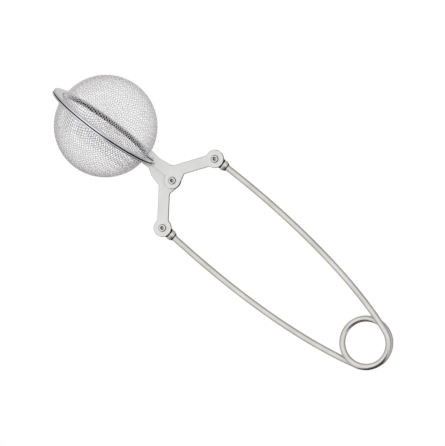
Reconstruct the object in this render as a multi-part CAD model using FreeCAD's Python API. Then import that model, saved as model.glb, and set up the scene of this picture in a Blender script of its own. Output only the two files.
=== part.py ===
"""Snap-ball tea infuser: two woven bowls in folded rim rings, carried by two stamped levers that
turn on one rivet and are squeezed by a coiled spring-wire handle.

Everything is drawn in millimetres about the central pivot (+X towards the handle, +Y towards the
upper jaw, +Z along the pivot), then moved so that the centre of the hanging eye is the origin.
"""

import FreeCAD
import Part

import math
import os

Vector = FreeCAD.Vector
X_AXIS, Y_AXIS, Z_AXIS = Vector(1, 0, 0), Vector(0, 1, 0), Vector(0, 0, 1)

# --- Ball and rim rings -------------------------------------------------------------------------
BALL_X = -36.1            # ball centre, ahead of the pivot
SEAM_Y = 0.6              # the closed seam lies this far to the upper side of the pivot axis
SEAM_GAP = 0.1            # between the two closed rings
RING_OUTER_R = 25.4
RING_INNER_R = 21.5       # inner edge of the ring's outer leaf
RING_LINER_R = 20.7       # inner edge of the leaf that faces the other ring
LEAF_T = 0.3              # sheet of the folded ring
BRIM_T = 0.3              # mesh, pressed flat inside the fold
BRIM_R = 24.5
RING_T = 2 * LEAF_T + BRIM_T
BOWL_R = 21.1             # outside of the mesh
BALL_RISE = 0.45          # the ball's centre lies this far to the upper side of the seam
BOWL_T = 0.4              # two mesh wires thick
BOWL_COLLAR_R = 0.35      # where the bowl turns out into its brim

# --- Levers -------------------------------------------------------------------------------------
LEVER_T = 1.1
LEVER_GAP = 0.1           # between the two levers
ARM_REACH = 19.8          # pivot to handle rivet
UPPER_SPREAD = 63.2       # degrees between +X and the line from the pivot to a handle rivet
LOWER_SPREAD = 66.0
ARM_TURN = 10.0           # degrees, the handle arm slopes this much less than that line
ARM_W = 4.6
EYE_R = 3.7
BOSS_R = 3.4
ROOT_X, ROOT_Y = -5.0, 4.65   # outer edge of the ball arm where it widens into the handle arm
UPPER_WAIST = (-9.9, 4.05)    # corner of that edge beside the foot
LOWER_WAIST = (-8.3, 3.75)
WAIST_R = 1.0
BALL_ARM_INNER_Y = -0.1   # straight inner edge beside the seam
FOOT_X = (-14.4, -11.1)   # welded foot, along X
UPPER_FOOT_Y = (4.7, 4.2)     # outer edge of the flat above the foot, at its two ends
LOWER_FOOT_Y = (2.0, 2.0)
FOOT_DROP = 3.6           # the foot hangs this far below the pivot plane, flat on the ring
FOOT_BEND_R = 1.3
NECK_X = -10.2            # the inner edge steps up here to clear the rings
NECK_R = 0.4
ARMPIT_ALONG = 5.5        # along the handle arm, from abreast of the pivot to the armpit corner
ARMPIT_R = 0.9
ELBOW_R = 2.5             # outer corner between the two arms
EYE_BLEND_R = 2.0         # where the handle arm widens into its eye
BOSS_BLEND_R = 1.0        # where the ball arm's inner edge meets the boss
EDGE_R = 0.3              # rolled edges of the stamping

# --- Rivets -------------------------------------------------------------------------------------
SHANK_R = 1.0
RUNNING_CLEARANCE = 0.05
HOLE_R = SHANK_R + RUNNING_CLEARANCE
HEAD_R = 1.55
HEAD_H = 0.5
HEAD_EDGE_R = 0.35        # rounding of the flat head behind
ROLL_R = 0.45             # rounding of the rolled-over end in front
HOLLOW_R = 0.55
HOLLOW_DEPTH = 1.3

# --- End fittings: a flattened tongue and a round ferrule on each wire end ------------------------
TONGUE_T = 1.1
TONGUE_R = 2.7
TONGUE_NECK_W = 4.1
SHOULDER_X = 4.0          # rivet to the ferrule's shoulder
SHOULDER_R = 2.3
SHOULDER_EDGE_R = 0.3
BELLY_X, BELLY_R = 5.1, 2.05      # the ferrule tapers faster beyond here
BELLY_ROUND_R = 2.0
FERRULE_END_X = 6.2
FERRULE_END_R = 1.45
SOCKET_CLEARANCE = 0.02

# --- Spring wire --------------------------------------------------------------------------------
WIRE_R = 1.25
WIRE_START_X = 4.6        # the wire's end, inside the ferrule
WIRE_BEND_X = 6.8         # straight up to here
EYE_CENTRE = Vector(102.8, -4.7, 0)
COIL_R = 9.7
COIL_PITCH = 2.65
COIL_MID_Z = -1.15
COIL_ENTRY_SHIFT = Vector(-0.3, -0.23, 0)     # the coil starts this far off centre
COIL_ENTRY_TURN = 110.0   # degrees, and comes true over this much of its length
COIL_EXIT_FLARE = 0.5     # its end opens out this far
COIL_EXIT_TURN = 60.0
HEADING_STEP = 0.1        # degrees, for the coil's direction of travel
UPPER_START, UPPER_END = 0.0, -22.0      # degrees, directions of the upper arm
UPPER_PULLS = (15.6, 31.7)                # lengths of its Bezier handles
LOWER_START, LOWER_END = -4.5, 14.5
LOWER_PULLS = (10.0, 37.0)
SPLIT_ANGLE = 0.0         # the coil is parted on its far side, in the rear turn
SPLIT_GAP = 0.06
COIL_STEP = 30.0          # degrees, longest piece of the coil's curve

TOUCH = 0.01              # points closer than this count as one
CUT_OVERRUN = 1.0         # how far a cutting tool reaches past the metal


def polar(radius, degrees):
    angle = math.radians(degrees)
    return Vector(radius * math.cos(angle), radius * math.sin(angle), 0)


def cylinder(radius, centre, z_low, z_high):
    base = Vector(centre.x, centre.y, z_low)
    return Part.makeCylinder(radius, z_high - z_low, base, Z_AXIS)


def arc(start, middle, end):
    return Part.Arc(start, middle, end).toShape()


def outline_face(corners, place):
    """A flat face bounded by (u, v, radius) corners, each rounded; place(u, v) puts it in space."""
    bends = []
    for i, (u, v, radius) in enumerate(corners):
        here = Vector(u, v, 0)
        after = corners[(i + 1) % len(corners)]
        backward = (Vector(corners[i - 1][0], corners[i - 1][1], 0) - here).normalize()
        forward = (Vector(after[0], after[1], 0) - here).normalize()
        half = backward.getAngle(forward) / 2
        setback = radius / math.tan(half)
        inset = radius / math.sin(half) - radius
        middle = here + (backward + forward).normalize() * inset
        bends.append((here + backward * setback, middle, here + forward * setback))
    edges = []
    for i, bend in enumerate(bends):
        start, middle, end = [place(p.x, p.y) for p in bend]
        following = bends[(i + 1) % len(bends)][0]
        following = place(following.x, following.y)
        if corners[i][2] > 0:
            edges.append(arc(start, middle, end))
        if end.distanceToPoint(following) > TOUCH:
            edges.append(Part.makeLine(end, following))
    return Part.Face(Part.Wire(edges))


def is_upright_at(edge, x, y):
    low, high = edge.Vertexes[0].Point, edge.Vertexes[-1].Point
    upright = low.z != high.z and math.hypot(low.x - high.x, low.y - high.y) < TOUCH
    return upright and math.hypot(low.x - x, low.y - y) < TOUCH


def round_upright_edge(shape, x, y, radius):
    return shape.makeFillet(radius, [e for e in shape.Edges if is_upright_at(e, x, y)])


def mirrored_jaw(shape):
    """The same shape on the other side of the seam."""
    return shape.mirror(Vector(0, SEAM_Y, 0), Y_AXIS)


# --- Ball ---------------------------------------------------------------------------------------
def ball_point(radius, height):
    """A point of a profile: radius from the ball's axis, height above the seam."""
    return Vector(BALL_X + radius, SEAM_Y + height, 0)


def revolve_about_ball(face):
    return face.revolve(ball_point(0, 0), Y_AXIS, 360)


def rim_ring():
    """A flat ring of sheet folded back on itself at its outer edge, with the brim in the fold."""
    base = SEAM_GAP / 2
    top = base + RING_T
    fold_r = RING_T / 2
    inside_r = BRIM_T / 2
    inside_edge = RING_OUTER_R - LEAF_T
    corners = [
        (RING_OUTER_R, base, fold_r),
        (RING_OUTER_R, top, fold_r),
        (RING_INNER_R, top, 0),
        (RING_INNER_R, top - LEAF_T, 0),
        (inside_edge, top - LEAF_T, inside_r),
        (inside_edge, base + LEAF_T, inside_r),
        (RING_LINER_R, base + LEAF_T, 0),
        (RING_LINER_R, base, 0),
    ]
    return revolve_about_ball(outline_face(corners, ball_point))


def bowl_arc(radius, rise, low):
    """From the bowl's pole down to the given height, about a centre that lies above the seam."""
    foot_angle = math.asin((low - rise) / radius)
    middle_angle = (foot_angle + math.pi / 2) / 2

    def at(angle):
        return ball_point(radius * math.cos(angle), rise + radius * math.sin(angle))

    return arc(at(math.pi / 2), at(middle_angle), at(foot_angle))


def mesh_bowl(rise):
    """Half a ball with a flat brim: the space that the woven mesh takes up."""
    low = SEAM_GAP / 2 + LEAF_T
    high = low + BRIM_T
    inner_r = BOWL_R - BOWL_T
    inner_foot = math.sqrt(inner_r**2 - (low - rise) ** 2)
    collar_top = high + BOWL_COLLAR_R
    collar_foot = math.sqrt(BOWL_R**2 - (collar_top - rise) ** 2)
    brim_start = collar_foot + BOWL_COLLAR_R
    sag = BOWL_COLLAR_R * (1 - math.cos(math.pi / 4))
    edges = [
        bowl_arc(BOWL_R, rise, collar_top),
        arc(
            ball_point(collar_foot, collar_top),
            ball_point(collar_foot + sag, high + sag),
            ball_point(brim_start, high),
        ),
        Part.makeLine(ball_point(brim_start, high), ball_point(BRIM_R, high)),
        Part.makeLine(ball_point(BRIM_R, high), ball_point(BRIM_R, low)),
        Part.makeLine(ball_point(BRIM_R, low), ball_point(inner_foot, low)),
        bowl_arc(inner_r, rise, low),
        Part.makeLine(ball_point(0, rise + inner_r), ball_point(0, rise + BOWL_R)),
    ]
    wire = Part.Wire(Part.__sortEdges__(edges))
    return revolve_about_ball(Part.Face(wire))


# --- Levers -------------------------------------------------------------------------------------
def line_crossing(point_a, direction_a, point_b, direction_b):
    cross = direction_a.x * direction_b.y - direction_a.y * direction_b.x
    gap = point_b - point_a
    along = (gap.x * direction_b.y - gap.y * direction_b.x) / cross
    return point_a + direction_a * along


def tangent_point(corner, radius):
    """Where the line from the corner touches the right side of a circle about the pivot."""
    bearing = math.degrees(math.atan2(corner.y, corner.x))
    half = math.degrees(math.acos(radius / corner.Length))
    return polar(radius, bearing - half)


def lever_foot(foot_y, outer_y, z_low, z_high):
    """The end of the ball arm, bent down to lie flat on the ring."""
    start, end = FOOT_X
    beyond = max(outer_y) + FOOT_BEND_R
    corners = [
        (foot_y, z_high, FOOT_BEND_R),
        (foot_y, -FOOT_DROP, 0),
        (foot_y + LEVER_T, -FOOT_DROP, 0),
        (foot_y + LEVER_T, z_low, 0),
        (beyond, z_low, 0),
        (beyond, z_high, 0),
    ]
    section = outline_face(corners, lambda y, z: Vector(start, y, z))
    outline = [(start, foot_y, 0), (end, foot_y, 0), (end, outer_y[1], 0), (start, outer_y[0], 0)]
    plan = outline_face(outline, lambda x, y: Vector(x, y, -FOOT_DROP))
    bent = section.extrude(Vector(end - start, 0, 0))
    return bent.common(plan.extrude(Vector(0, 0, z_high + FOOT_DROP)))


def lever_plate(foot_y, outer_y, waist, spread, z_low, z_high):
    """The flat of the stamping on the +Y side: ball arm, pivot boss, handle arm and eye."""
    eye = polar(ARM_REACH, spread)
    along = polar(1, spread - ARM_TURN)
    across = polar(1, spread - ARM_TURN - 90)
    left = eye - across * (ARM_W / 2)
    right = eye + across * (ARM_W / 2)
    waist_top = Vector(waist[0], waist[1], 0)
    root_top = Vector(ROOT_X, ROOT_Y, 0)
    elbow = line_crossing(waist_top, root_top - waist_top, left, along)
    armpit = right - along * (right.dot(along) - ARMPIT_ALONG)
    boss_side = tangent_point(armpit, BOSS_R)
    corners = [
        (waist_top.x, waist_top.y, WAIST_R),
        (FOOT_X[1], outer_y[1], 0),
        (FOOT_X[1], foot_y, 0),
        (NECK_X, foot_y, 0),
        (NECK_X, BALL_ARM_INNER_Y, NECK_R),
        (0, BALL_ARM_INNER_Y, 0),
        (boss_side.x, boss_side.y, 0),
        (armpit.x, armpit.y, ARMPIT_R),
        (right.x, right.y, 0),
        (left.x, left.y, 0),
        (elbow.x, elbow.y, ELBOW_R),
    ]
    face = outline_face(corners, lambda x, y: Vector(x, y, z_low))
    plate = face.extrude(Vector(0, 0, z_high - z_low))
    plate = plate.fuse(cylinder(EYE_R, eye, z_low, z_high))
    plate = plate.fuse(cylinder(BOSS_R, Vector(), z_low, z_high)).removeSplitter()

    short_of_eye = along * math.sqrt(EYE_R**2 - (ARM_W / 2) ** 2)
    for side in (left, right):
        neck = side - short_of_eye
        plate = round_upright_edge(plate, neck.x, neck.y, EYE_BLEND_R)
    boss_end_x = -math.sqrt(BOSS_R**2 - BALL_ARM_INNER_Y**2)
    return round_upright_edge(plate, boss_end_x, BALL_ARM_INNER_Y, BOSS_BLEND_R)


def roll_edges(plate, z_low, z_high):
    """Softens the long outline edges of a flat stamping, but not its rivet holes."""
    rim = []
    for edge in plate.Edges:
        box = edge.BoundBox
        to_face = min(abs(box.ZMin - z_low), abs(box.ZMin - z_high))
        on_face = box.ZLength < TOUCH and to_face < TOUCH
        beyond_foot = box.XMin > FOOT_X[1] + TOUCH
        is_hole = isinstance(edge.Curve, Part.Circle) and abs(edge.Curve.Radius - HOLE_R) < TOUCH
        if on_face and beyond_foot and not is_hole:
            rim.append(edge)
    return plate.makeFillet(EDGE_R, rim)


def lever(foot_y, outer_y, waist, spread, z_low):
    """One stamping, with its foot bent down and its two rivet holes."""
    z_high = z_low + LEVER_T
    body = lever_plate(foot_y, outer_y, waist, spread, z_low, z_high)
    body = body.fuse(lever_foot(foot_y, outer_y, z_low, z_high)).removeSplitter()
    for centre in (Vector(), polar(ARM_REACH, spread)):
        body = body.cut(cylinder(HOLE_R, centre, z_low - CUT_OVERRUN, z_high + CUT_OVERRUN))
    return roll_edges(body, z_low, z_high)


# --- Rivets -------------------------------------------------------------------------------------
def rivet(centre, z_back, z_front):
    """A semi-tubular rivet: flat head behind, rolled-over hollow end in front."""
    top = z_front + HEAD_H
    bottom = z_back - HEAD_H
    hollow_floor = z_front - HOLLOW_DEPTH
    corners = [
        (0, bottom, 0),
        (HEAD_R, bottom, HEAD_EDGE_R),
        (HEAD_R, z_back, 0),
        (SHANK_R, z_back, 0),
        (SHANK_R, z_front, 0),
        (HEAD_R, z_front, 0),
        (HEAD_R, top, ROLL_R),
        (HOLLOW_R, top, ROLL_R),
        (HOLLOW_R, hollow_floor, 0),
        (0, hollow_floor, 0),
    ]
    face = outline_face(corners, lambda radius, z: Vector(radius, 0, z))
    solid = face.revolve(Vector(), Z_AXIS, 360)
    solid.translate(Vector(centre.x, centre.y, 0))
    return solid


# --- End fittings -------------------------------------------------------------------------------
def end_fitting(centre, direction, axis_z):
    """Tongue under the lever's eye, with a bullet-shaped ferrule that grips the wire."""
    low, high = -TONGUE_T / 2, TONGUE_T / 2
    tongue = cylinder(TONGUE_R, Vector(), low, high)
    neck_corner = Vector(0, -TONGUE_NECK_W / 2, low)
    neck = Part.makeBox(WIRE_START_X, TONGUE_NECK_W, TONGUE_T, neck_corner)
    corners = [
        (SHOULDER_X, 0, 0),
        (SHOULDER_X, SHOULDER_R, SHOULDER_EDGE_R),
        (BELLY_X, BELLY_R, BELLY_ROUND_R),
        (FERRULE_END_X, FERRULE_END_R, 0),
        (FERRULE_END_X, 0, 0),
    ]
    face = outline_face(corners, lambda x, radius: Vector(x, radius, 0))
    ferrule = face.revolve(Vector(), X_AXIS, 360)
    body = tongue.fuse(neck).fuse(ferrule).removeSplitter()

    socket_floor = WIRE_START_X - SOCKET_CLEARANCE
    depth = FERRULE_END_X - socket_floor + CUT_OVERRUN
    socket_r = WIRE_R + SOCKET_CLEARANCE
    body = body.cut(Part.makeCylinder(socket_r, depth, Vector(socket_floor, 0, 0), X_AXIS))
    body = body.cut(cylinder(SHANK_R, Vector(), low - CUT_OVERRUN, high + CUT_OVERRUN))
    body.rotate(Vector(), Z_AXIS, direction)
    body.translate(Vector(centre.x, centre.y, axis_z))
    return body


# --- Spring wire --------------------------------------------------------------------------------
def ease(part):
    """Rises smoothly from 0 to 1 as part goes from 0 to 1."""
    part = min(max(part, 0), 1)
    return part * part * (3 - 2 * part)


def coil_total():
    """Degrees turned between the ends of the two arms."""
    return 360 + (UPPER_END + 90) - (LOWER_END - 90)


def coil_point(turned):
    """A point of the coil's centre line after turning clockwise through so many degrees."""
    entry_angle = UPPER_END + 90
    total = coil_total()
    off_centre = COIL_ENTRY_SHIFT * ease(1 - turned / COIL_ENTRY_TURN)
    flare = COIL_EXIT_FLARE * ease(1 - (total - turned) / COIL_EXIT_TURN)
    point = EYE_CENTRE + off_centre + polar(COIL_R + flare, entry_angle - turned)
    return Vector(point.x, point.y, COIL_MID_Z + COIL_PITCH * (total / 2 - turned) / 360)


def coil_heading(turned):
    """Direction of travel."""
    return (coil_point(turned + HEADING_STEP) - coil_point(turned - HEADING_STEP)).normalize()


def coil_curve(turned_from, turned_to):
    """Bezier curves of at most COIL_STEP each, tangent where they meet."""
    count = math.ceil((turned_to - turned_from) / COIL_STEP)
    step = (turned_to - turned_from) / count
    pull = COIL_R * math.tan(math.radians(step) / 4) * 4 / 3
    edges = []
    for i in range(count):
        turned = turned_from + step * i
        start = coil_point(turned)
        end = coil_point(turned + step)
        leaving = coil_heading(turned) * pull
        arriving = coil_heading(turned + step) * pull
        curve = Part.BezierCurve()
        curve.setPoles([start, start + leaving, end - arriving, end])
        edges.append(curve.toShape())
    return edges


def arm_curve(rivet_centre, start_direction, pulls, coil_end, coil_direction, axis_z):
    """Straight through the ferrule, then one Bezier curve that meets the coil."""
    heading = polar(1, start_direction)
    base = Vector(rivet_centre.x, rivet_centre.y, axis_z)
    start = base + heading * WIRE_START_X
    bend = base + heading * WIRE_BEND_X
    curve = Part.BezierCurve()
    curve.setPoles([bend, bend + heading * pulls[0], coil_end - coil_direction * pulls[1], coil_end])
    return [Part.makeLine(start, bend), curve.toShape()]


def sweep_wire(edges):
    spine = Part.Wire(edges)
    first = spine.Edges[0]
    start = first.valueAt(first.FirstParameter)
    heading = first.tangentAt(first.FirstParameter)
    circle = Part.Wire(Part.makeCircle(WIRE_R, start, heading))
    sweep = Part.BRepOffsetAPI.MakePipeShell(spine)
    sweep.setBiNormalMode(Z_AXIS)
    sweep.add(circle)
    sweep.build()
    sweep.makeSolid()
    return sweep.shape()


def spring_wire(rivet_upper, rivet_lower, upper_z, lower_z):
    """The handle wire, parted at SPLIT_ANGLE of the coil's second turn."""
    total = coil_total()
    split = 360 + (UPPER_END + 90) - SPLIT_ANGLE
    half_gap = math.degrees(SPLIT_GAP / 2 / COIL_R)

    entering = coil_heading(0)
    upper = arm_curve(rivet_upper, UPPER_START, UPPER_PULLS, coil_point(0), entering, upper_z)
    upper += coil_curve(0, split - half_gap)

    backwards = coil_heading(total) * -1
    lower = arm_curve(rivet_lower, LOWER_START, LOWER_PULLS, coil_point(total), backwards, lower_z)
    lower += reversed(coil_curve(split + half_gap, total))
    return sweep_wire(upper), sweep_wire(lower)


def build():
    upper_low = LEVER_GAP / 2
    lower_low = -LEVER_GAP / 2 - LEVER_T
    upper_front = upper_low + LEVER_T + RUNNING_CLEARANCE
    lower_front = lower_low + LEVER_T + RUNNING_CLEARANCE
    ring_face = SEAM_GAP / 2 + RING_T
    upper_eye = polar(ARM_REACH, UPPER_SPREAD)
    lower_eye = polar(ARM_REACH, -LOWER_SPREAD)
    tongue_drop = RUNNING_CLEARANCE + TONGUE_T / 2
    upper_axis_z = upper_low - tongue_drop
    lower_axis_z = lower_low - tongue_drop
    upper_back = upper_axis_z - TONGUE_T / 2
    lower_back = lower_axis_z - TONGUE_T / 2
    upper_wire, lower_wire = spring_wire(upper_eye, lower_eye, upper_axis_z, lower_axis_z)
    upper_lever = lever(ring_face + SEAM_Y, UPPER_FOOT_Y, UPPER_WAIST, UPPER_SPREAD, upper_low)
    lower_lever = lever(ring_face - SEAM_Y, LOWER_FOOT_Y, LOWER_WAIST, LOWER_SPREAD, lower_low)

    return {
        "upper_mesh_bowl": mesh_bowl(BALL_RISE),
        "lower_mesh_bowl": mirrored_jaw(mesh_bowl(-BALL_RISE)),
        "upper_rim_ring": rim_ring(),
        "lower_rim_ring": mirrored_jaw(rim_ring()),
        "upper_lever": upper_lever,
        "lower_lever": lower_lever.mirror(Vector(), Y_AXIS),
        "pivot_rivet": rivet(Vector(), lower_low - RUNNING_CLEARANCE, upper_front),
        "upper_handle_rivet": rivet(upper_eye, upper_back, upper_front),
        "lower_handle_rivet": rivet(lower_eye, lower_back, lower_front),
        "upper_end_fitting": end_fitting(upper_eye, UPPER_START, upper_axis_z),
        "lower_end_fitting": end_fitting(lower_eye, LOWER_START, lower_axis_z),
        "upper_spring_wire": upper_wire,
        "lower_spring_wire": lower_wire,
    }


def main():
    os.makedirs("parts", exist_ok=True)
    for name, shape in build().items():
        shape.translate(EYE_CENTRE * -1)
        shape.exportStep(f"parts/{name}.step")
        box = shape.BoundBox
        print(
            f"{name}: {len(shape.Solids)} solid, valid {shape.isValid()}, {shape.Volume:.1f} mm3,"
            f" x {box.XMin:.2f}..{box.XMax:.2f} y {box.YMin:.2f}..{box.YMax:.2f}"
            f" z {box.ZMin:.2f}..{box.ZMax:.2f}"
        )


main()
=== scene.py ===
import math

import bpy
import numpy as np
from mathutils import Matrix, Vector

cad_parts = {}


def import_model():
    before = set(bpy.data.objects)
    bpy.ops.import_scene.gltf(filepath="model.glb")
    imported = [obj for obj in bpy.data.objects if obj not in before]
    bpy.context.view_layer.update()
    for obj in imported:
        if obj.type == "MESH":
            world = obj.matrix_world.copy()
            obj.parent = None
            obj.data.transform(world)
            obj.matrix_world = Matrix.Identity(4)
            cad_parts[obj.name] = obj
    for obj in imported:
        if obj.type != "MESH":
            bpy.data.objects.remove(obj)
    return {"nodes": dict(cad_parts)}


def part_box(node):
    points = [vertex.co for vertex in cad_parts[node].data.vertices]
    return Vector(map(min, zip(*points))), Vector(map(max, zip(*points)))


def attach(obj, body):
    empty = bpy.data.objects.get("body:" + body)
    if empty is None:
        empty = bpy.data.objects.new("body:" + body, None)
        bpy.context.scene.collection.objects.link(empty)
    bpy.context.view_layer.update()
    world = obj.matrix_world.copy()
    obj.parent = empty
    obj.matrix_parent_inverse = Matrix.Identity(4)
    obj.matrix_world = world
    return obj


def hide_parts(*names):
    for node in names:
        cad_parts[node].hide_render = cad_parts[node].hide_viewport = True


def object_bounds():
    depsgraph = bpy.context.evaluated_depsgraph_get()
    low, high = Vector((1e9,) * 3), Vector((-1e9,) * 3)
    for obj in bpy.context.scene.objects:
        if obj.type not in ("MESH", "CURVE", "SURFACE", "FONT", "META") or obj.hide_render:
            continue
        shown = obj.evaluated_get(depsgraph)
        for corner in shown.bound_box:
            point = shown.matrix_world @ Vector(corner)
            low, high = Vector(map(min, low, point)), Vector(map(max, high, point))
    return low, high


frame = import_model()
cad_box = [list(corner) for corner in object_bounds()]

MM = 0.001

# --- Woven bowls, in millimetres and degrees ------------------------------------------------------
MESH_PITCH = 1.1
MESH_WIRE_R = 0.08
MESH_MID_R = 20.9           # ball radius at the middle of the weave
MESH_WAVE = 0.1             # how far each wire rises and falls as it passes over and under
BALL_RISE = 0.45            # the ball's centre lies this far to the upper side of the seam
BRIM_HEIGHT = 0.5           # middle of the fold, above the seam
COLLAR_R = 0.5              # the weave turns outwards into its brim with this radius
PRESSED_SHIFT = {"upper": 0.55, "lower": 0.2}   # towards the handle, above the collar
SHIFT_RISE = 4.0            # the shift grows to its full size over this height
BRIM_END_R = 22.2           # the pressed brim ends here, inside the fold
WEAVE_ANGLE = {"upper": 20.0, "lower": 45.0}    # turn of the weave about the bowl's axis
NET_REACH = 95.0            # the square net is laid out this far from the bowl's pole
WIRE_REACH = 93.0           # and its wires are followed this far, past the brim's end
MIN_CELLS = 2               # shorter rows of the net give no wire
MIN_POINTS = 4              # and neither do fewer points on the bowl
SAMPLES_PER_CELL = 3        # points along a wire for each cell of the net
WIRE_SIDES = 6

# --- Coil core, in millimetres and degrees --------------------------------------------------------
WIRE_R = 1.25
COIL_R = 9.7
CORE_R = 1.2
COIL_PITCH = 2.65
CORE_SPAN = 20.0
CORE_STATIONS = 13
CORE_SIDES = 24

# --- Camera ---------------------------------------------------------------------------------------
CAMERA_BACK = Vector((0.14984, 0.14642, 0.97781)).normalized()
CAMERA_TARGET = Vector((-75.923, 3.298, 0.0)) * MM
CAMERA_DISTANCE = 1.5       # metres
CAMERA_ROLL = 37.4388       # degrees
LENS = 298.3                # millimetres, and so is the sensor's width
SENSOR = 36.0
CLIP = (0.01, 10)           # metres

# --- Studio: brightness by direction, from straight away from the camera (0) to towards it (1) ----
STUDIO_STOPS = [(0.03, 0.62), (0.16, 0.46), (0.36, 0.46), (0.64, 0.7), (0.84, 0.88), (1.0, 0.96)]
GAP_TURN = -80.0            # degrees in the picture, direction of the studio's dark gap
GAP_START = (0.25, 0.5)     # sine of the angle to the camera's axis, from no gap to the full gap
GAP_EDGE = (0.45, 0.85)     # slope to the gap's middle line, from the full gap to none
GAP_DEPTH = 0.88
MIN_OUTWARD = 0.001         # keeps the slope finite
DIM_TURN = 30.0             # degrees in the picture, direction of the dimmer side
DIM_START = (0.3, 1.0)      # cosine of the angle to the dimmer side, from plain to dimmest
DIM_DEPTH = 0.25
STUDIO_TINT = [(0.1, (1.0, 0.84, 0.78)), (0.4, (1.0, 1.0, 1.0))]   # by brightness
WHITE = (1.0, 1.0, 1.0)
FLOOR_BOUNCE = 0.9          # brightness of the floor as a soft light
FLOOR_GAP = 0.0003          # metres below the part
FLOOR_HALF_SIZE = 3.0       # metres

# --- Steel ----------------------------------------------------------------------------------------
PATCH_SCALE = (90, 90, 90)  # patches per metre of the slow change of tone
PATCH_DETAIL = 2.0
GRAIN_DETAIL = 4.0
NOISE_ROUGHNESS = 0.6
NOISE_RANGE = (0.3, 0.7)    # most of the noise lies between these values
RELIEF_STRENGTH = 0.05
RELIEF_DEPTH = 0.0001       # metres

# --- Tones, painted shade and painted reflections: where a steel is darker. Distances in millimetres, facings from -1 to 1 ---
# painted shade: dark reflections on rivets' walls and shade lines round the end fittings
PAINTED_LINE_SHADE = (0.05, 0.048, 0.045)
# painted shade in crevices
CREVICE_SHADE_TONE = (0.03, 0.028, 0.025)
CREVICE_SAMPLES = 8
RIVET_WALLS = (0.75, 0.98)  # how level a rivet's surface is, from the painted wall shade to plain
EDGE_LEVEL = (0.7, 0.97)    # how level a lever's surface is, from the painted edge shade to plain
EDGE_ALONG = (0.25, 0.1)    # how far the wall faces along the seam, from the painted edge shade to plain
# the painted edge shade is darkest on walls that face this way
DARK_SIDE = (0.717, 0.697, 0.0)
DARK_SIDE_FACING = (0.1, 0.5)   # how far the edge faces that side, from soft painted shade to dark
FERRULE_SHADE_LINES = [(3.85, 0.35), (6.0, 0.2)]      # painted shade lines: distance from the rivet, half width
LINE_SOFTNESS = (0.7, 1.3)  # in half widths, from painted shade line to plain
INSIDE_FACING = (-0.1, 0.5)     # how far the weave's surface faces outwards, from the painted inside shade to plain outside
SHADED_ABOVE = (4.0, 6.5)   # from the pivot's axis towards the upper jaw, from shaded to plain
SHADED_BELOW = (5.5, 8.0)   # the same towards the lower jaw
SHADED_HEIGHT = (-11.0, -3.0)   # along the pivot's axis, from shaded to plain
SEAM_GAP = 0.1              # between the closed rings
SEAM_LINE = (0.22, 0.3)     # distance from the seam, from painted shade line to plain
SEAM_FACING = (0.4, 0.2)    # how far the ring's surface faces outwards, from painted shade line to plain
INNER_FACING = (-0.6, -0.2)     # the same, from the inner side's painted shade to plain


# --- Materials ------------------------------------------------------------------------------------
class Nodes:
    """A short way to write a node tree."""

    def __init__(self, material):
        material.use_nodes = True
        self.tree = material.node_tree
        self.tree.nodes.clear()

    def add(self, kind, **values):
        node = self.tree.nodes.new(kind)
        for key, value in values.items():
            setattr(node, key, value)
        return node

    def link(self, source, target):
        self.tree.links.new(source, target)


def coordinates(nodes, scale):
    """Object coordinates, scaled along each axis."""
    place = nodes.add("ShaderNodeTexCoord")
    mapping = nodes.add("ShaderNodeMapping")
    mapping.inputs["Scale"].default_value = scale
    nodes.link(place.outputs["Object"], mapping.inputs["Vector"])
    return mapping.outputs["Vector"]


def noise(nodes, vector, detail):
    texture = nodes.add("ShaderNodeTexNoise")
    texture.inputs["Scale"].default_value = 1.0
    texture.inputs["Detail"].default_value = detail
    texture.inputs["Roughness"].default_value = NOISE_ROUGHNESS
    nodes.link(vector, texture.inputs["Vector"])
    return texture.outputs["Fac"]


def ramp(nodes, value, stops):
    """Colour by value, from a list of (value, colour)."""
    node = nodes.add("ShaderNodeValToRGB")
    elements = node.color_ramp.elements
    for element, (position, colour) in zip(elements, (stops[0], stops[-1])):
        element.position = position
        element.color = (*colour, 1)
    for position, colour in stops[1:-1]:
        elements.new(position).color = (*colour, 1)
    nodes.link(value, node.inputs["Fac"])
    return node.outputs["Color"]


def map_range(nodes, value, limits, results, interpolation):
    node = nodes.add("ShaderNodeMapRange", interpolation_type=interpolation)
    for socket, number in zip(("From Min", "From Max", "To Min", "To Max"), (*limits, *results)):
        node.inputs[socket].default_value = number
    nodes.link(value, node.inputs["Value"])
    return node.outputs["Result"]


def smooth(nodes, value, low, high, start=0.0, end=1.0):
    """Goes softly from start, where the value is low or beyond, to end, where it is high."""
    return map_range(nodes, value, (low, high), (start, end), "SMOOTHSTEP")


def dot(nodes, direction, axis):
    node = nodes.add("ShaderNodeVectorMath", operation="DOT_PRODUCT")
    nodes.link(direction, node.inputs[0])
    node.inputs[1].default_value = axis
    return node.outputs["Value"]


def calculate(nodes, operation, *values):
    """One step of arithmetic; a float is a fixed value, anything else a socket."""
    node = nodes.add("ShaderNodeMath", operation=operation)
    for socket, value in zip(node.inputs, values):
        if isinstance(value, float):
            socket.default_value = value
        else:
            nodes.link(value, socket)
    return node.outputs["Value"]


def blend_colour(nodes, factor, at_zero, at_one):
    """A blend of two colours; a tuple is a fixed colour, anything else a socket."""
    node = nodes.add("ShaderNodeMix", data_type="RGBA")
    nodes.link(factor, node.inputs["Factor"])
    for name, colour in zip(("A", "B"), (at_zero, at_one)):
        socket = [i for i in node.inputs if i.name == name and i.type == "RGBA"][0]
        if isinstance(colour, tuple):
            socket.default_value = (*colour, 1)
        else:
            nodes.link(colour, socket)
    return [o for o in node.outputs if o.type == "RGBA"][0]


def painted_wall_shade(nodes, colour, wall_shade):
    """Steep surfaces take a painted shade that stands in for dark reflections, and level ones keep
    their own colour.
    """
    normal = nodes.add("ShaderNodeTexCoord").outputs["Normal"]
    level = calculate(nodes, "ABSOLUTE", dot(nodes, normal, (0, 0, 1)))
    return blend_colour(nodes, smooth(nodes, level, *RIVET_WALLS), wall_shade, colour)


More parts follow.
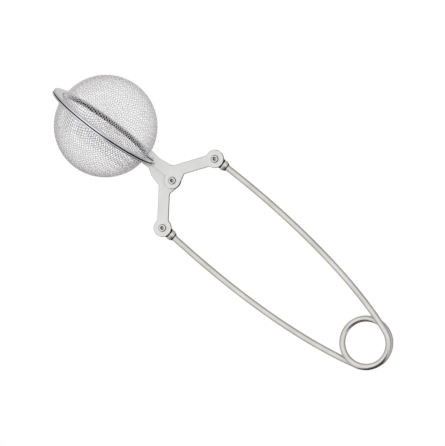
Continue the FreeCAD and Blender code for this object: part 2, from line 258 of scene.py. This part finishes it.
def painted_edge_shade(nodes, colour, dark_tone, soft_tone):
    """The stamping's edges get painted shade that stands in for dark reflections, darker than its
    faces, darkest towards the coil and the upper side.

    Walls that run along the seam stay plain, and so do the welded feet and their bends.
    """
    normal = nodes.add("ShaderNodeTexCoord").outputs["Normal"]
    dark_side = smooth(nodes, dot(nodes, normal, DARK_SIDE), *DARK_SIDE_FACING)
    edge_shade = blend_colour(nodes, dark_side, soft_tone, dark_tone)
    level = calculate(nodes, "ABSOLUTE", dot(nodes, normal, (0, 0, 1)))
    along = calculate(nodes, "ABSOLUTE", dot(nodes, normal, (1, 0, 0)))
    plain = calculate(
        nodes, "MAXIMUM", smooth(nodes, level, *EDGE_LEVEL), smooth(nodes, along, *EDGE_ALONG)
    )
    return blend_colour(nodes, plain, edge_shade, colour)


def painted_ferrule_shade(nodes, colour, line_shade, centre):
    """Painted shade lines round an end fitting: shade in the slot beside the lever's eye and a dark
    reflection at the ferrule's end.
    """
    place = nodes.add("ShaderNodeTexCoord").outputs["Object"]
    offset = nodes.add("ShaderNodeVectorMath", operation="SUBTRACT")
    nodes.link(place, offset.inputs[0])
    offset.inputs[1].default_value = centre
    level = nodes.add("ShaderNodeVectorMath", operation="MULTIPLY")
    nodes.link(offset.outputs["Vector"], level.inputs[0])
    level.inputs[1].default_value = (1, 1, 0)
    reach = nodes.add("ShaderNodeVectorMath", operation="LENGTH")
    nodes.link(level.outputs["Vector"], reach.inputs[0])
    for middle, half_width in FERRULE_SHADE_LINES:
        away = calculate(nodes, "SUBTRACT", reach.outputs["Value"], middle * MM)
        away = calculate(nodes, "ABSOLUTE", away)
        plain = smooth(nodes, away, *(part * half_width * MM for part in LINE_SOFTNESS))
        colour = blend_colour(nodes, plain, line_shade, colour)
    return colour


def crevice_shade(nodes, colour, reach, closed, open_):
    """Places with others close by get painted shade; reach in millimetres."""
    node = nodes.add("ShaderNodeAmbientOcclusion")
    node.samples = CREVICE_SAMPLES
    node.inputs["Distance"].default_value = reach * MM
    openness = smooth(nodes, node.outputs["AO"], closed, open_)
    return blend_colour(nodes, openness, CREVICE_SHADE_TONE, colour)


def facing_out(nodes, centre):
    """How far a surface faces away from a middle, from -1 to 1."""
    place = nodes.add("ShaderNodeTexCoord")
    radial = nodes.add("ShaderNodeVectorMath", operation="SUBTRACT")
    nodes.link(place.outputs["Object"], radial.inputs[0])
    radial.inputs[1].default_value = centre
    unit = nodes.add("ShaderNodeVectorMath", operation="NORMALIZE")
    nodes.link(radial.outputs["Vector"], unit.inputs[0])
    facing = nodes.add("ShaderNodeVectorMath", operation="DOT_PRODUCT")
    nodes.link(unit.outputs["Vector"], facing.inputs[0])
    nodes.link(place.outputs["Normal"], facing.inputs[1])
    return facing.outputs["Value"]


def dim_inside(nodes, colour, inside_shade, shaded_tone, centre):
    """The weave gets painted shade: dimmer inside the ball, and darkest beside the seam on the
    floor's side.
    """
    place = nodes.add("ShaderNodeTexCoord").outputs["Object"]
    plain = smooth(nodes, dot(nodes, place, (0, 0, 1)), *(z * MM for z in SHADED_HEIGHT))
    for axis, reach in (((0, 1, 0), SHADED_ABOVE), ((0, -1, 0), SHADED_BELOW)):
        clear = smooth(nodes, dot(nodes, place, axis), *(y * MM for y in reach))
        plain = calculate(nodes, "MAXIMUM", clear, plain)
    inside = blend_colour(nodes, plain, shaded_tone, inside_shade)
    outside = smooth(nodes, facing_out(nodes, centre), *INSIDE_FACING)
    return blend_colour(nodes, outside, inside, colour)


def painted_ring_shade(nodes, colour, dark_tone, centre, seam_y):
    """A ring gets painted shade on the side that faces its own middle and along the outer edge's
    seam.
    """
    facing = facing_out(nodes, centre)
    colour = blend_colour(nodes, smooth(nodes, facing, *INNER_FACING), dark_tone, colour)
    place = nodes.add("ShaderNodeTexCoord").outputs["Object"]
    height = calculate(nodes, "SUBTRACT", dot(nodes, place, (0, 1, 0)), seam_y)
    from_seam = calculate(nodes, "ABSOLUTE", height)
    beside = smooth(nodes, from_seam, *(reach * MM for reach in SEAM_LINE))
    level = smooth(nodes, facing, *SEAM_FACING)
    return blend_colour(nodes, calculate(nodes, "MAXIMUM", beside, level), dark_tone, colour)


def steel(name, dark, light, roughness, grain, metallic=1.0, tones=()):
    """Stainless steel: a slow change of tone, a fine grain in the roughness and a slight bump.

    The grain is given per metre along each axis. Each entry of tones is one of the painted shade
    functions above with its own values.
    """
    material = bpy.data.materials.new(name)
    nodes = Nodes(material)
    patches = noise(nodes, coordinates(nodes, PATCH_SCALE), PATCH_DETAIL)
    fine = noise(nodes, coordinates(nodes, grain), GRAIN_DETAIL)
    shader = nodes.add("ShaderNodeBsdfPrincipled")
    shader.inputs["Metallic"].default_value = metallic
    colour = ramp(nodes, patches, list(zip(NOISE_RANGE, (dark, light))))
    for change, *values in tones:
        colour = change(nodes, colour, *values)
    nodes.link(colour, shader.inputs["Base Color"])
    grain_roughness = map_range(nodes, fine, NOISE_RANGE, roughness, "LINEAR")
    nodes.link(grain_roughness, shader.inputs["Roughness"])
    relief = nodes.add("ShaderNodeBump")
    relief.inputs["Strength"].default_value = RELIEF_STRENGTH
    relief.inputs["Distance"].default_value = RELIEF_DEPTH
    nodes.link(fine, relief.inputs["Height"])
    nodes.link(relief.outputs["Normal"], shader.inputs["Normal"])
    out = nodes.add("ShaderNodeOutputMaterial")
    nodes.link(shader.outputs["BSDF"], out.inputs["Surface"])
    return material


def ball_centre():
    """The middle of the closed rings, in millimetres."""
    low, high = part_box("upper_rim_ring")
    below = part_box("lower_rim_ring")[1]
    return np.array([(low.x + high.x) / 2, (low.y + below.y) / 2, (low.z + high.z) / 2]) / MM


BALL = ball_centre()


def local_middle(piece):
    corners = [Vector(corner) for corner in piece.bound_box]
    return sum(corners, Vector()) / len(corners)


def seam_height(ring, side_name):
    """The seam's place along the ring's own y axis."""
    heights = [corner[1] for corner in ring.bound_box]
    if side_name == "upper":
        return min(heights) - SEAM_GAP / 2 * MM
    return max(heights) + SEAM_GAP / 2 * MM


def rivet_place(side_name):
    """Middle of a handle's rivet, in its end fitting's own axes."""
    low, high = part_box(f"{side_name}_handle_rivet")
    return frame["nodes"][f"{side_name}_end_fitting"].matrix_world.inverted() @ ((low + high) / 2)


def ring_steel(side_name, ring):
    # painted shade on the ring's inner side and along its seam
    edge = (painted_ring_shade, (0.05, 0.045, 0.04), local_middle(ring), seam_height(ring, side_name))
    return steel(
        f"{side_name}_ring_steel", (0.86, 0.86, 0.93), (0.96, 0.96, 1.0), (0.14, 0.26),
        (300, 9000, 300), tones=[edge],
    )


# painted shade on the weave inside the ball and beside the seam
mesh_steel = steel(
    "mesh_steel", (0.91, 0.885, 0.905), (1.0, 0.98, 1.0), (0.22, 0.38), (4000, 4000, 4000), 0.4,
    tones=[(dim_inside, (0.9, 0.885, 0.88), (0.01, 0.009, 0.007), BALL * MM)],
)
# painted shade on the stamping's edges
lever_steel = steel(
    "lever_steel", (0.84, 0.845, 0.825), (0.90, 0.905, 0.885), (0.38, 0.5), (500, 4000, 500), 0.75,
    tones=[(painted_edge_shade, (0.03, 0.029, 0.027), (0.42, 0.42, 0.41))],
)
# painted shade on the rivets' walls and in their crevices
rivet_steel = steel(
    "rivet_steel", (0.72, 0.71, 0.67), (0.86, 0.85, 0.82), (0.16, 0.28), (3000, 3000, 3000),
    tones=[(painted_wall_shade, PAINTED_LINE_SHADE), (crevice_shade, 0.8, 0.1, 0.6)],
)
# painted shade where the coil's turns and other parts come close
wire_steel = steel(
    "wire_steel", (0.69, 0.67, 0.63), (0.82, 0.805, 0.775), (0.16, 0.26), (200, 5000, 5000),
    tones=[(crevice_shade, 0.7, 0.25, 0.8)],
)
# painted shade lines round the end fittings
fitting_steels = {
    side_name: steel(
        f"{side_name}_fitting_steel", (0.78, 0.77, 0.73), (0.90, 0.89, 0.86), (0.35, 0.5),
        (600, 5000, 5000),
        tones=[(painted_ferrule_shade, PAINTED_LINE_SHADE, rivet_place(side_name))],
    )
    for side_name in ("upper", "lower")
}
ring_steels = {
    side_name: ring_steel(side_name, frame["nodes"][f"{side_name}_rim_ring"])
    for side_name in ("upper", "lower")
}

NODE_STEELS = {
    "upper_rim_ring": ring_steels["upper"],
    "lower_rim_ring": ring_steels["lower"],
    "lever": lever_steel,
    "rivet": rivet_steel,
    "upper_end_fitting": fitting_steels["upper"],
    "lower_end_fitting": fitting_steels["lower"],
    "spring_wire": wire_steel,
    "mesh_bowl": mesh_steel,
}
for node_name, node in frame["nodes"].items():
    for ending, material in NODE_STEELS.items():
        if node_name.endswith(ending):
            if not node.material_slots:
                node.data.materials.append(material)
            for material_slot in node.material_slots:
                material_slot.material = material


# --- Woven bowls ----------------------------------------------------------------------------------
def drape_quarter(step, count):
    """A square net of unit directions, draped over a ball from its pole without stretching."""
    net = np.zeros((count + 1, count + 1, 3))
    for i in range(count + 1):
        net[i, 0] = (math.sin(i * step), 0, math.cos(i * step))
        net[0, i] = (0, math.sin(i * step), math.cos(i * step))
    for i in range(1, count + 1):
        for j in range(1, count + 1):
            middle = net[i - 1, j] + net[i, j - 1]
            middle /= np.linalg.norm(middle)
            back = net[i - 1, j - 1]
            net[i, j] = 2 * (middle @ back) * middle - back
    return net


def bowl_profile(arc_length, rise):
    """Along the bowl from its pole: sphere, collar, flat brim.

    Gives the radius, the height, the normal's outward and upward parts, how much the wires still
    rise and fall, and which points lie on the bowl.
    """
    lift = BRIM_HEIGHT + COLLAR_R
    start_angle = math.acos((lift - rise) / (MESH_MID_R + COLLAR_R))
    start = MESH_MID_R * start_angle
    turn_length = COLLAR_R * start_angle
    on_ball = np.minimum(arc_length, start) / MESH_MID_R
    in_turn = np.clip((arc_length - start) / COLLAR_R, 0, start_angle)
    beyond = np.maximum(arc_length - start - turn_length, 0)
    angle = on_ball - in_turn
    centre_r = (MESH_MID_R + COLLAR_R) * math.sin(start_angle)
    turning = arc_length > start
    radius = np.where(
        turning, centre_r - COLLAR_R * np.sin(angle) + beyond, MESH_MID_R * np.sin(on_ball)
    )
    height = np.where(
        turning, lift - COLLAR_R * np.cos(angle), rise + MESH_MID_R * np.cos(on_ball)
    )
    fade = 1 - in_turn / start_angle
    end = start + turn_length + BRIM_END_R - centre_r
    return radius, height, np.sin(angle), np.cos(angle), fade, arc_length <= end


def wire_path(directions, wave_sign, turn, side_name, centre):
    """Centre line and normals of one mesh wire, in metres, from its row of the net."""
    side = 1 if side_name == "upper" else -1
    count = len(directions)
    steps = np.arange((count - 1) * SAMPLES_PER_CELL + 1) / SAMPLES_PER_CELL
    cell = np.minimum(steps.astype(int), count - 2)
    part = (steps - cell)[:, None]
    points = directions[cell] * (1 - part) + directions[cell + 1] * part
    points /= np.linalg.norm(points, axis=1)[:, None]
    wave = wave_sign * np.cos(np.pi * steps)
    flat = np.hypot(points[:, 0], points[:, 1])
    arc_length = np.arctan2(flat, points[:, 2]) * MESH_MID_R
    radius, height, out, up, fade, inside = bowl_profile(arc_length, side * BALL_RISE)
    around = points[:, :2] / np.maximum(flat, 1e-9)[:, None]
    c, s = math.cos(turn), math.sin(turn)
    around = np.stack(
        [around[:, 0] * c - around[:, 1] * s, around[:, 0] * s + around[:, 1] * c], axis=1
    )
    lift = MESH_WAVE * wave * fade
    radius = radius + out * lift
    height = height + up * lift
    grown = np.clip((height - BRIM_HEIGHT) / SHIFT_RISE, 0, 1)
    shift = PRESSED_SHIFT[side_name] * grown * grown * (3 - 2 * grown)
    path = np.stack(
        [around[:, 0] * radius + shift, side * height, around[:, 1] * radius], axis=1
    )
    normal = np.stack([around[:, 0] * out, side * up, around[:, 1] * out], axis=1)
    return (path[inside] + centre) * MM, normal[inside]


def tubes(name, paths, wire_radius, sides):
    """One mesh of closed round wires along the given centre lines."""
    corners, faces, base = [], [], 0
    angles = np.arange(sides) * 2 * math.pi / sides
    for path, normal in paths:
        tangent = np.gradient(path, axis=0)
        tangent /= np.linalg.norm(tangent, axis=1)[:, None]
        across = np.cross(tangent, normal)
        across /= np.linalg.norm(across, axis=1)[:, None]
        up = np.cross(across, tangent)
        ring = (
            across[:, None, :] * np.cos(angles)[None, :, None]
            + up[:, None, :] * np.sin(angles)[None, :, None]
        )
        corners.append((path[:, None, :] + wire_radius * ring).reshape(-1, 3))
        count = len(path)
        index = base + np.arange(count * sides).reshape(count, sides)
        turned = np.roll(index, -1, axis=1)
        quads = np.stack([index[:-1], turned[:-1], turned[1:], index[1:]], axis=2)
        faces += quads.reshape(-1, 4).tolist()
        faces += [index[0][::-1].tolist(), index[-1].tolist()]
        base += count * sides
    mesh = bpy.data.meshes.new(name)
    mesh.from_pydata(np.concatenate(corners).tolist(), [], faces)
    mesh.polygons.foreach_set("use_smooth", [True] * len(mesh.polygons))
    mesh.update()
    piece = bpy.data.objects.new(name, mesh)
    bpy.context.scene.collection.objects.link(piece)
    return piece


def contiguous_middle(reach, middle):
    """First and last index of the run of True values that holds the middle one."""
    if not reach[middle]:
        return middle, middle
    first = last = middle
    while first > 0 and reach[first - 1]:
        first -= 1
    while last < len(reach) - 1 and reach[last + 1]:
        last += 1
    return first, last


def weave(side_name, turn, centre):
    """The two sets of wires of one bowl, warp and weft."""
    step = MESH_PITCH / MESH_MID_R
    count = math.ceil(math.radians(NET_REACH) / step)
    quarter = drape_quarter(step, count)
    index = np.arange(-count, count + 1)
    net = quarter[np.abs(index)[:, None], np.abs(index)[None, :]].copy()
    net[:, :, 0] *= np.sign(index)[:, None]
    net[:, :, 1] *= np.sign(index)[None, :]
    within = math.cos(math.radians(WIRE_REACH))
    for set_name, rows, sign in (("warp", net, 1), ("weft", net.transpose(1, 0, 2), -1)):
        paths = []
        for i, row in enumerate(rows):
            first, last = contiguous_middle(row[:, 2] > within, count)
            if last - first < MIN_CELLS:
                continue
            wave_sign = sign * (-1) ** (i + first)
            path, normal = wire_path(row[first : last + 1], wave_sign, turn, side_name, centre)
            if len(path) >= MIN_POINTS:
                paths.append((path, normal))
        name = f"{side_name}_mesh_{set_name}"
        piece = tubes(name, paths, MESH_WIRE_R * MM, WIRE_SIDES)
        piece.data.materials.append(mesh_steel)
        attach(piece, f"{side_name}_jaw")
        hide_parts(f"{side_name}_mesh_bowl")


for side_name, weave_angle in WEAVE_ANGLE.items():
    weave(side_name, math.radians(weave_angle), BALL)


# --- Coil core ------------------------------------------------------------------------------------
def coil_core():
    """A short piece of wire that bridges the gap which opens where the coil is parted."""
    middle_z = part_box("upper_spring_wire")[0].z / MM + WIRE_R
    degrees = np.linspace(-CORE_SPAN / 2, CORE_SPAN / 2, CORE_STATIONS)
    angles = np.radians(degrees)
    x = COIL_R * np.cos(angles)
    y = COIL_R * np.sin(angles)
    z = middle_z + COIL_PITCH * degrees / 360
    path = np.stack([x, y, z], axis=1) * MM
    normal = np.tile([0.0, 0.0, 1.0], (len(path), 1))
    piece = tubes("coil_core", [(path, normal)], CORE_R * MM, CORE_SIDES)
    piece.data.materials.append(wire_steel)
    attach(piece, "upper_handle")


coil_core()


# --- Studio ---------------------------------------------------------------------------------------
def switch(nodes, condition, without, within):
    """The first value, a socket, or where the condition holds the second, a number."""
    node = nodes.add("ShaderNodeMix", data_type="FLOAT")
    nodes.link(condition, node.inputs["Factor"])
    nodes.link(without, node.inputs["A"])
    node.inputs["B"].default_value = within
    return node.outputs["Result"]


def picture_direction(degrees):
    """A direction in the picture's plane, turned anticlockwise from its right."""
    image_right, image_up = camera_axes()
    angle = math.radians(degrees)
    return image_right * math.cos(angle) + image_up * math.sin(angle)


def studio_light(nodes, direction, sense):
    """Brightness and tint of the studio along sense times the direction."""
    height = calculate(
        nodes, "MULTIPLY_ADD", dot(nodes, direction, CAMERA_BACK * sense), 0.5, 0.5
    )
    light = ramp(nodes, height, [(t, (v, v, v)) for t, v in STUDIO_STOPS])
    outward = dot(nodes, direction, picture_direction(GAP_TURN) * sense)
    sideways = dot(nodes, direction, picture_direction(GAP_TURN + 90) * sense)
    sideways = calculate(nodes, "ABSOLUTE", sideways)
    slope = calculate(
        nodes, "DIVIDE", sideways, calculate(nodes, "MAXIMUM", outward, MIN_OUTWARD)
    )
    inside = smooth(nodes, slope, GAP_EDGE[1], GAP_EDGE[0])
    gap = calculate(nodes, "MULTIPLY", smooth(nodes, outward, *GAP_START), inside)
    gap = calculate(nodes, "MULTIPLY_ADD", gap, -GAP_DEPTH, 1.0)
    dim_side = dot(nodes, direction, picture_direction(DIM_TURN) * sense)
    dim_side = smooth(nodes, dim_side, *DIM_START, 1.0, 1.0 - DIM_DEPTH)
    light = calculate(nodes, "MULTIPLY", light, calculate(nodes, "MULTIPLY", gap, dim_side))
    return light, ramp(nodes, light, STUDIO_TINT)


def floor():
    """Plain white to the camera; in the steel's reflections it is part of the studio."""
    mesh = bpy.data.meshes.new("floor")
    size = FLOOR_HALF_SIZE
    z = cad_box[0][2] - FLOOR_GAP
    mesh.from_pydata(
        [(-size, -size, z), (size, -size, z), (size, size, z), (-size, size, z)], [], [(0, 1, 2, 3)]
    )
    piece = bpy.data.objects.new("floor", mesh)
    bpy.context.scene.collection.objects.link(piece)
    material = bpy.data.materials.new("floor_white")
    nodes = Nodes(material)
    rays = nodes.add("ShaderNodeLightPath").outputs
    incoming = nodes.add("ShaderNodeNewGeometry").outputs["Incoming"]
    reflected, tint = studio_light(nodes, incoming, -1)
    soft = switch(nodes, rays["Is Diffuse Ray"], reflected, FLOOR_BOUNCE)
    glow = nodes.add("ShaderNodeEmission")
    nodes.link(switch(nodes, rays["Is Camera Ray"], soft, 1.0), glow.inputs["Strength"])
    nodes.link(blend_colour(nodes, rays["Is Camera Ray"], tint, WHITE), glow.inputs["Color"])
    out = nodes.add("ShaderNodeOutputMaterial")
    nodes.link(glow.outputs["Emission"], out.inputs["Surface"])
    mesh.materials.append(material)


def world():
    """White to the camera and the soft studio in reflections."""
    scene_world = bpy.data.worlds.new("studio")
    bpy.context.scene.world = scene_world
    nodes = Nodes(scene_world)
    direction = nodes.add("ShaderNodeTexCoord").outputs["Generated"]
    background = nodes.add("ShaderNodeBackground")
    light, tint = studio_light(nodes, direction, 1)
    to_camera = nodes.add("ShaderNodeLightPath").outputs["Is Camera Ray"]
    nodes.link(switch(nodes, to_camera, light, 1.0), background.inputs["Strength"])
    nodes.link(blend_colour(nodes, to_camera, tint, WHITE), background.inputs["Color"])
    out = nodes.add("ShaderNodeOutputWorld")
    nodes.link(background.outputs["Background"], out.inputs["Surface"])


def camera_axes():
    """The picture's right and up directions."""
    right = Vector((1, 0, 0))
    right = (right - CAMERA_BACK * right.dot(CAMERA_BACK)).normalized()
    up = CAMERA_BACK.cross(right)
    roll = math.radians(CAMERA_ROLL)
    image_right = right * math.cos(roll) + up * math.sin(roll)
    image_up = up * math.cos(roll) - right * math.sin(roll)
    return image_right, image_up


def camera():
    data = bpy.data.cameras.new("camera")
    data.lens = LENS
    data.sensor_width = SENSOR
    data.clip_start, data.clip_end = CLIP
    image_right, image_up = camera_axes()
    turn = Matrix((image_right, image_up, CAMERA_BACK)).transposed()
    piece = bpy.data.objects.new("camera", data)
    piece.matrix_world = (
        Matrix.Translation(CAMERA_TARGET + CAMERA_BACK * CAMERA_DISTANCE) @ turn.to_4x4()
    )
    bpy.context.scene.collection.objects.link(piece)
    bpy.context.scene.camera = piece


floor()
world()
camera()
bpy.context.scene.view_settings.view_transform = "Standard"
